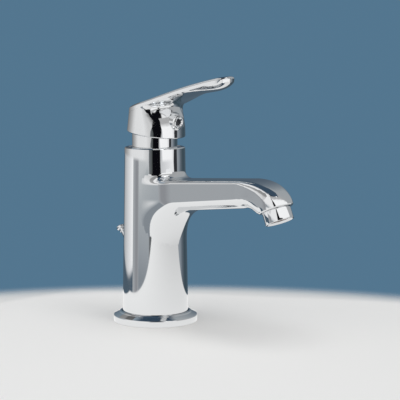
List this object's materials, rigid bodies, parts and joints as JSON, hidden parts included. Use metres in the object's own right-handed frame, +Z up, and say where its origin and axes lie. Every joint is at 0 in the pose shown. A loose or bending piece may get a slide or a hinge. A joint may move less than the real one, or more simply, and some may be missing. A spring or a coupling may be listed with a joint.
{
  "type": "single-lever basin mixer tap",
  "caption": "Deck-mounted basin mixer with a tapered round column, a gently rising spout with aerator, a tilting and turning lever, and a pull rod for a pop-up waste.",
  "frame": {"origin": "centre of the base seal's underside, on the deck surface and on the column's axis", "axes": "+Z up along the column, +X along the spout towards the user, so hot is at -Y and cold at +Y"},
  "size_m": [0.1603, 0.0588, 0.2306],
  "materials": {
    "polished_chrome": "bright chrome plating, polished",
    "cast_brass": "machined brass",
    "zinc_steel": "zinc-plated steel",
    "spindle_brass": "machined brass",
    "black_rubber": "moulded rubber, matt",
    "ceramic": "lapped ceramic",
    "white_plastic": "moulded plastic",
    "grey_plastic": "moulded plastic",
    "aerator_plastic": "dark moulded plastic",
    "wire_screen": "woven steel wire",
    "index_dark": "dark enamel"
  },
  "bodies": {
    "body": {"mixer_body": "polished_chrome", "base_ring": "polished_chrome", "base_seal": "black_rubber", "inlet_block": "cast_brass", "port_seals": "black_rubber", "cartridge_base": "white_plastic", "fixed_disc": "ceramic", "cartridge_housing": "white_plastic", "retaining_nut": "cast_brass", "cap_ring": "polished_chrome", "aerator_housing": "polished_chrome", "aerator_insert": "aerator_plastic", "aerator_screen": "wire_screen", "aerator_washer": "black_rubber", "rod_guide": "grey_plastic", "mounting_stud": "zinc_steel", "horseshoe_gasket": "black_rubber", "horseshoe_plate": "zinc_steel", "stud_nut": "cast_brass"},
    "swivel": {"spindle_carrier": "grey_plastic", "spindle_pin": "zinc_steel"},
    "lever": {"spindle": "spindle_brass", "lever_handle": "polished_chrome", "grub_screw": "zinc_steel", "index_plug": "polished_chrome", "index_dot": "index_dark"},
    "upper_disc": {"moving_disc": "ceramic", "disc_driver": "grey_plastic"},
    "pull_rod": {"lift_rod": "polished_chrome", "lift_knob": "polished_chrome"}
  },
  "joints": [
    {"name": "lever_swivel", "type": "hinge", "parent": "body", "child": "swivel", "pos_m": [0, 0, 0.122], "axis": [0, 0, 1], "range_deg": [-50, 50]},
    {"name": "lever_lift", "type": "hinge", "parent": "swivel", "child": "lever", "pos_m": [0, 0, 0.122], "axis": [0, -1, 0], "range_deg": [0, 25]},
    {"name": "disc_slide", "type": "slide", "parent": "swivel", "child": "upper_disc", "axis": [1, 0, 0], "range_m": [0, 0.00695]},
    {"name": "rod_slide", "type": "slide", "parent": "body", "child": "pull_rod", "axis": [-0.5446, 0, 0.8387], "range_m": [0, 0.015]}
  ],
  "couplings": [
    {"joint": "disc_slide", "follows": "lever_lift", "m_per_rad": 0.015831}
  ]
}
